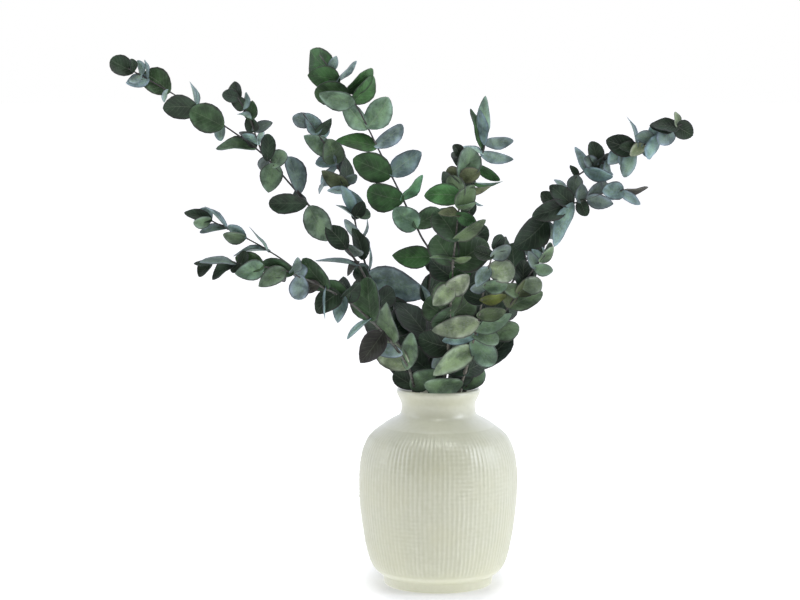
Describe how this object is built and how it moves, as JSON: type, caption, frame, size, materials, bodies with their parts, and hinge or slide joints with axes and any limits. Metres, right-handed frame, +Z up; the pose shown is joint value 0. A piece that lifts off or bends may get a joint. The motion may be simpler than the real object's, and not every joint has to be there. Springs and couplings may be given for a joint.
{
  "type": "eucalyptus branches in a vase",
  "caption": "Preserved eucalyptus branches with round and ovate leaves, standing loose in a turned ceramic vase with a woven relief.",
  "frame": {"origin": "centre of the vase's flat foot, on the table", "axes": "+Z up along the vase's axis, -Y towards the side the bunch shows, +X to the right of that view, along the bunch's widest spread"},
  "size_m": [0.5852, 0.2328, 0.5406],
  "materials": {
    "glaze": "cream satin glaze over a woven relief",
    "bark": "matt brown-green bark",
    "leaf": "matt grey-green leaf with a waxy bloom"
  },
  "bodies": {
    "root": {"centre_back_leaf_16": "leaf", "centre_back_leaf_17": "leaf", "centre_back_leaf_19": "leaf", "centre_back_stem": "bark", "centre_leaf_15": "leaf", "centre_left_leaf_01": "leaf", "centre_left_leaf_02": "leaf", "centre_left_leaf_03": "leaf", "centre_left_leaf_04": "leaf", "centre_left_leaf_07": "leaf", "centre_left_leaf_08": "leaf", "centre_left_leaf_11": "leaf", "centre_left_leaf_13": "leaf", "centre_left_leaf_14": "leaf", "centre_left_leaf_15": "leaf", "centre_left_leaf_17": "leaf", "centre_left_leaf_18": "leaf", "centre_left_leaf_19": "leaf", "centre_left_leaf_22": "leaf", "centre_left_leaf_25": "leaf", "centre_left_stem": "bark", "centre_right_leaf_01": "leaf", "centre_right_leaf_05": "leaf", "centre_right_leaf_11": "leaf", "centre_right_leaf_13": "leaf", "centre_right_stem": "bark", "centre_stem": "bark", "far_left_leaf_03": "leaf", "far_left_leaf_04": "leaf", "far_left_leaf_09": "leaf", "far_left_leaf_13": "leaf", "far_left_leaf_14": "leaf", "far_left_leaf_15": "leaf", "far_left_leaf_21": "leaf", "far_left_leaf_23": "leaf", "far_left_stem": "bark", "far_right_leaf_09": "leaf", "far_right_leaf_41": "leaf", "far_right_leaf_44": "leaf", "far_right_stem": "bark", "left_centre_leaf_02": "leaf", "left_centre_leaf_04": "leaf", "left_centre_leaf_05": "leaf", "left_centre_leaf_23": "leaf", "left_centre_stem": "bark", "lower_left_leaf_03": "leaf", "lower_left_leaf_06": "leaf", "lower_left_leaf_07": "leaf", "lower_left_leaf_09": "leaf", "lower_left_leaf_15": "leaf", "lower_left_stem": "bark", "right_leaf_03": "leaf", "right_leaf_06": "leaf", "right_leaf_07": "leaf", "right_stem": "bark", "vase": "glaze"}
  },
  "joints": []
}
